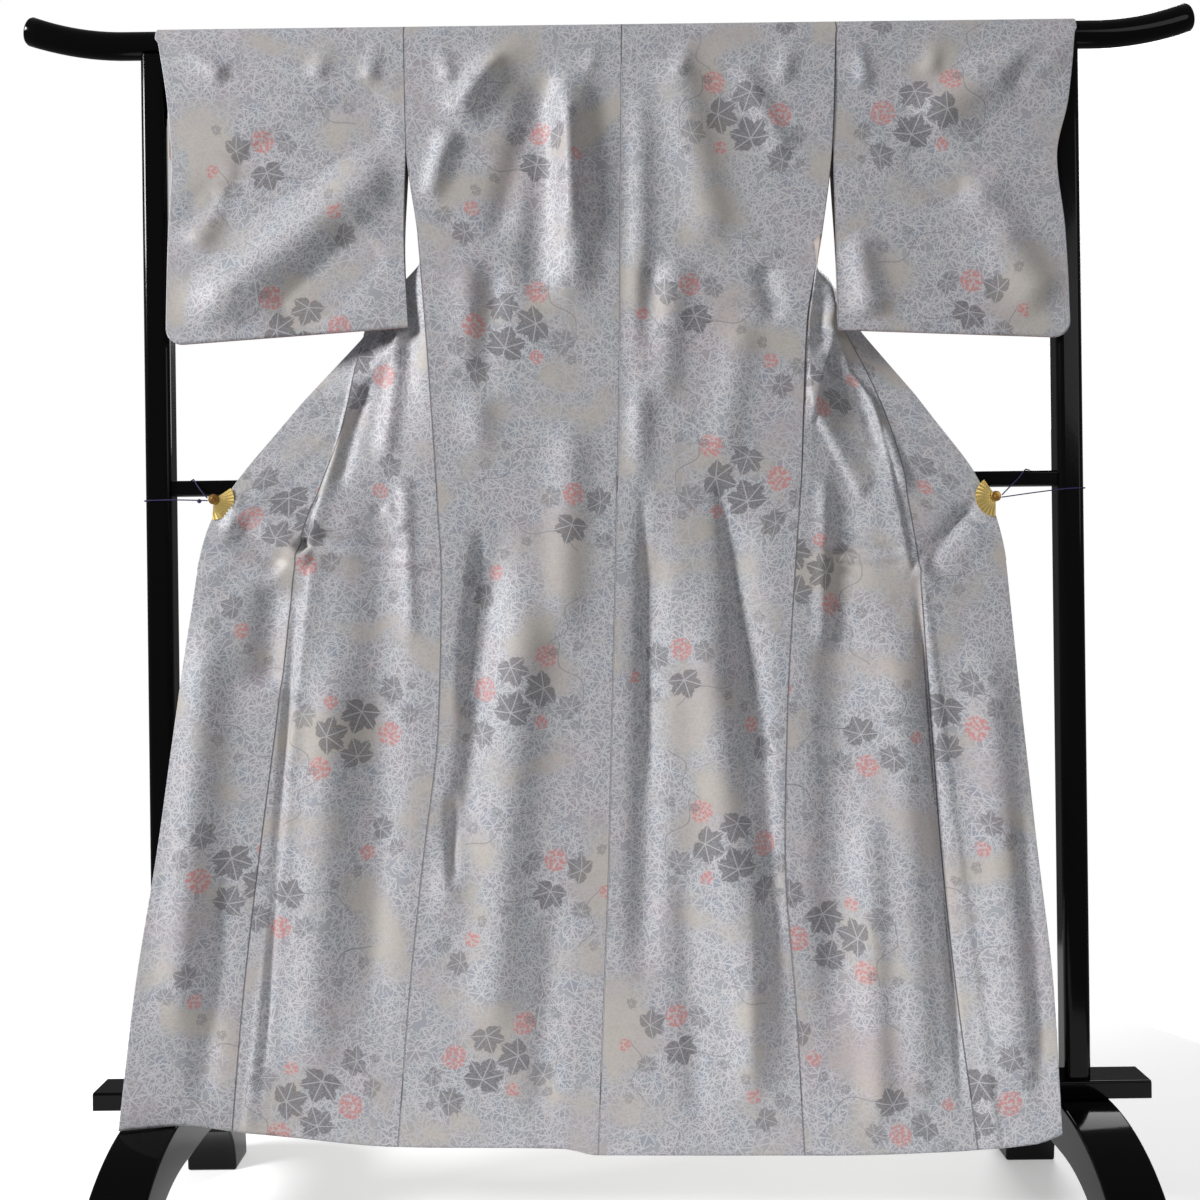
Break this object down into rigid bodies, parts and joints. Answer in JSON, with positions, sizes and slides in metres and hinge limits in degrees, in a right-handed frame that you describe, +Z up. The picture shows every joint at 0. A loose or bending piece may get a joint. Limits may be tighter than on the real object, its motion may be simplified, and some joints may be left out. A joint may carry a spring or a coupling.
{
  "type": "silk kimono on a lacquered kimono stand",
  "caption": "Lined silk kimono hung by its back over the rod of a free-standing black lacquered stand, its fronts spread sideways and held by gilt fan clips.",
  "frame": {"origin": "centre of the stand's footprint, on the floor", "axes": "+Z up, the rod along X, the garment's back faces -Y, towards the viewer"},
  "size_m": [1.6884, 0.49, 1.7589],
  "materials": {
    "silk": "patterned satin silk with a plain lining",
    "lacquer": "gloss black lacquer",
    "gilt": "polished gilt",
    "string": "twisted string"
  },
  "bodies": {
    "root": {"body_left": "silk", "body_right": "silk", "okumi_left": "silk", "okumi_right": "silk", "sleeve_left": "silk", "sleeve_right": "silk", "collar": "silk", "rod": "lacquer", "upright_left": "lacquer", "upright_right": "lacquer", "foot_left": "lacquer", "foot_right": "lacquer", "mid_rail": "lacquer", "base_plank": "lacquer", "clip_fan_left": "gilt", "clip_fan_right": "gilt", "clip_jaw_left": "gilt", "clip_jaw_right": "gilt", "clip_hub_left": "gilt", "clip_hub_right": "gilt", "string_left": "string", "string_right": "string", "string_knot": "string"}
  },
  "joints": []
}
